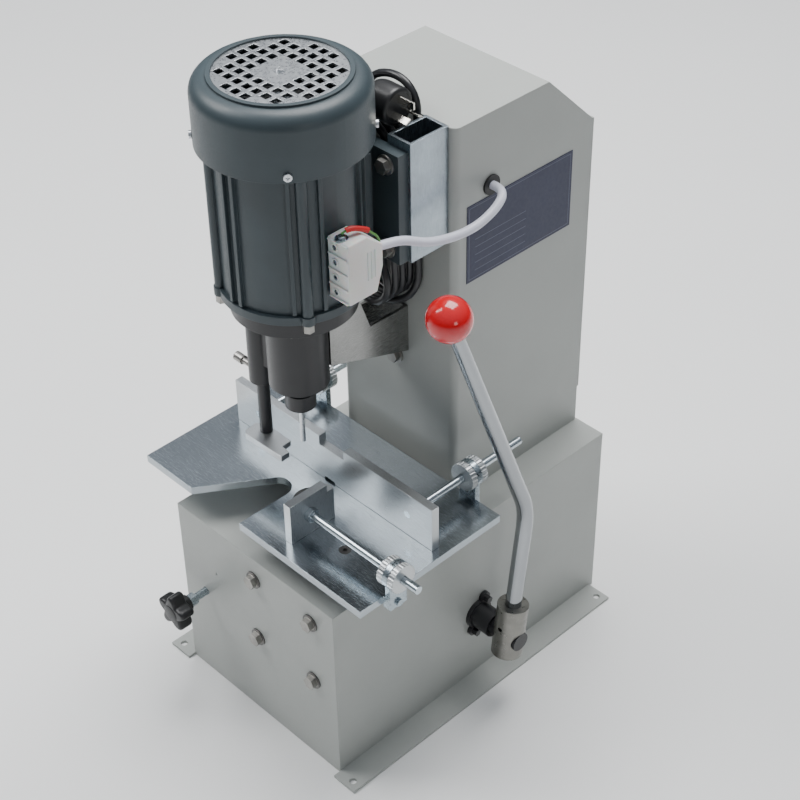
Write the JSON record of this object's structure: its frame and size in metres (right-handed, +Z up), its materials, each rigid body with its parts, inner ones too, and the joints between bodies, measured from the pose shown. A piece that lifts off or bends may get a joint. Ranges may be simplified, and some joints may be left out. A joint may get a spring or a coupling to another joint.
{
  "type": "paper drill",
  "caption": "Bench paper drill: a motor with a hollow drill on a sheet-metal column, and a work table that a side lever lifts to the drill.",
  "frame": {"origin": "middle of the four bolt-down holes, on the plane the machine stands on", "axes": "+X to the machine's right (lever side), +Y to its back, +Z up along the column"},
  "size_m": [0.3325, 0.4134, 0.6863],
  "materials": {
    "light_paint": "fine satin",
    "dark_paint": "satin",
    "black_paint": "satin",
    "machined_steel": "brushed",
    "dark_steel": "dull",
    "machined_aluminium": "milled",
    "cast_iron": "rough",
    "chrome_plate": "polished",
    "black_plastic": "matte",
    "red_plastic": "gloss",
    "white_plastic": "satin",
    "green_plastic": "satin",
    "blue_label": "printed",
    "black_rubber": "matte",
    "copper_winding": "wound",
    "brass_pin": "plated"
  },
  "bodies": {
    "machine": {"base_housing": "light_paint", "inner_post": "dark_steel", "column_cover": "light_paint", "rear_panel": "light_paint", "label_plate": "blue_label", "cable_grommets": "black_rubber", "switch_body": "black_plastic", "capacitor": "white_plastic", "motor_tubes": "machined_steel", "motor_frame": "dark_paint", "lower_end_bell": "dark_paint", "tie_bolts": "dark_steel", "motor_bolts": "dark_steel", "stator": "copper_winding", "bearings": "machined_steel", "fan_cowl": "dark_paint", "fan_grille": "machined_steel", "spindle_housing": "black_paint", "spindle_bracket": "dark_steel", "terminal_block": "white_plastic", "earth_lead": "green_plastic", "motor_cable": "white_plastic", "mains_cord": "black_rubber", "mains_plug": "black_plastic", "plug_pins": "brass_pin", "guide_block": "cast_iron", "guide_bolts": "dark_steel", "guide_washers": "dark_steel", "lever_bearings": "black_paint", "pan_screws": "machined_steel"},
    "table": {"work_table": "machined_steel", "table_carrier": "cast_iron", "table_screws": "dark_steel", "lift_posts": "machined_steel", "side_bracket": "machined_steel", "rear_brackets": "machined_steel", "lock_bar": "dark_steel"},
    "pad": {"drill_pad": "black_plastic"},
    "paper_fence": {"fence": "machined_aluminium", "fence_rods": "machined_steel"},
    "right_nuts": {"nuts_right": "machined_aluminium"},
    "left_nuts": {"nuts_left": "machined_aluminium"},
    "side_stop": {"stop_block": "machined_aluminium", "stop_rod": "machined_steel"},
    "stop_nuts": {"nuts_stop": "machined_aluminium"},
    "lever": {"lever_hub": "machined_steel", "lever_rod": "chrome_plate", "lever_ball": "red_plastic", "lever_shaft": "dark_steel", "lift_arm": "cast_iron"},
    "spindle": {"spindle_shaft": "machined_steel", "rotor": "machined_steel", "cooling_fan": "black_plastic", "spindle_nose": "black_paint", "drill_bit": "machined_steel"},
    "table_lock": {"lock_knob": "black_plastic", "lock_stud": "machined_steel"},
    "presser": {"presser_rod": "black_paint", "presser_foot": "machined_aluminium"},
    "rocker": {"switch_rocker": "red_plastic"}
  },
  "joints": [
    {"name": "table_lift", "type": "slide", "parent": "machine", "child": "table", "axis": [0, 0, 1], "range_m": [0, 0.0635]},
    {"name": "lever_swing", "type": "hinge", "parent": "machine", "child": "lever", "pos_m": [0.153, 0.0115, 0.084], "axis": [1, 0, 0], "range_deg": [-35.3, 0]},
    {"name": "presser_slide", "type": "slide", "parent": "machine", "child": "presser", "axis": [0, 0, 1], "range_m": [0, 0.0191]},
    {"name": "spindle_spin", "type": "hinge", "parent": "machine", "child": "spindle", "pos_m": [0, -0.106, 0.42], "axis": [0, 0, 1], "continuous": true},
    {"name": "pad_turn", "type": "hinge", "parent": "table", "child": "pad", "pos_m": [0.009, -0.109, 0.242], "axis": [0, 0, 1], "continuous": true},
    {"name": "fence_slide", "type": "slide", "parent": "table", "child": "paper_fence", "axis": [0, 1, 0], "range_m": [-0.01, 0.055]},
    {"name": "right_nuts_turn", "type": "hinge", "parent": "table", "child": "right_nuts", "pos_m": [0.107, 0.0015, 0.2695], "axis": [0, 1, 0], "continuous": true},
    {"name": "left_nuts_turn", "type": "hinge", "parent": "table", "child": "left_nuts", "pos_m": [-0.097, 0.0015, 0.2695], "axis": [0, 1, 0], "continuous": true},
    {"name": "stop_slide", "type": "slide", "parent": "table", "child": "side_stop", "axis": [1, 0, 0], "range_m": [-0.018, 0.08]},
    {"name": "stop_nuts_turn", "type": "hinge", "parent": "table", "child": "stop_nuts", "pos_m": [0.152, -0.14, 0.2695], "axis": [1, 0, 0], "continuous": true},
    {"name": "lock_turn", "type": "hinge", "parent": "machine", "child": "table_lock", "pos_m": [-0.0783, -0.2, 0.113], "axis": [0, 1, 0], "continuous": true},
    {"name": "switch_tilt", "type": "hinge", "parent": "machine", "child": "rocker", "pos_m": [-0.071, 0.102, 0.458], "axis": [0, 0, 1], "range_deg": [-8, 8]}
  ],
  "couplings": [
    {"joint": "lever_swing", "follows": "table_lift", "rad_per_m": -9.675},
    {"joint": "presser_slide", "follows": "table_lift", "ratio": 0.3}
  ]
}
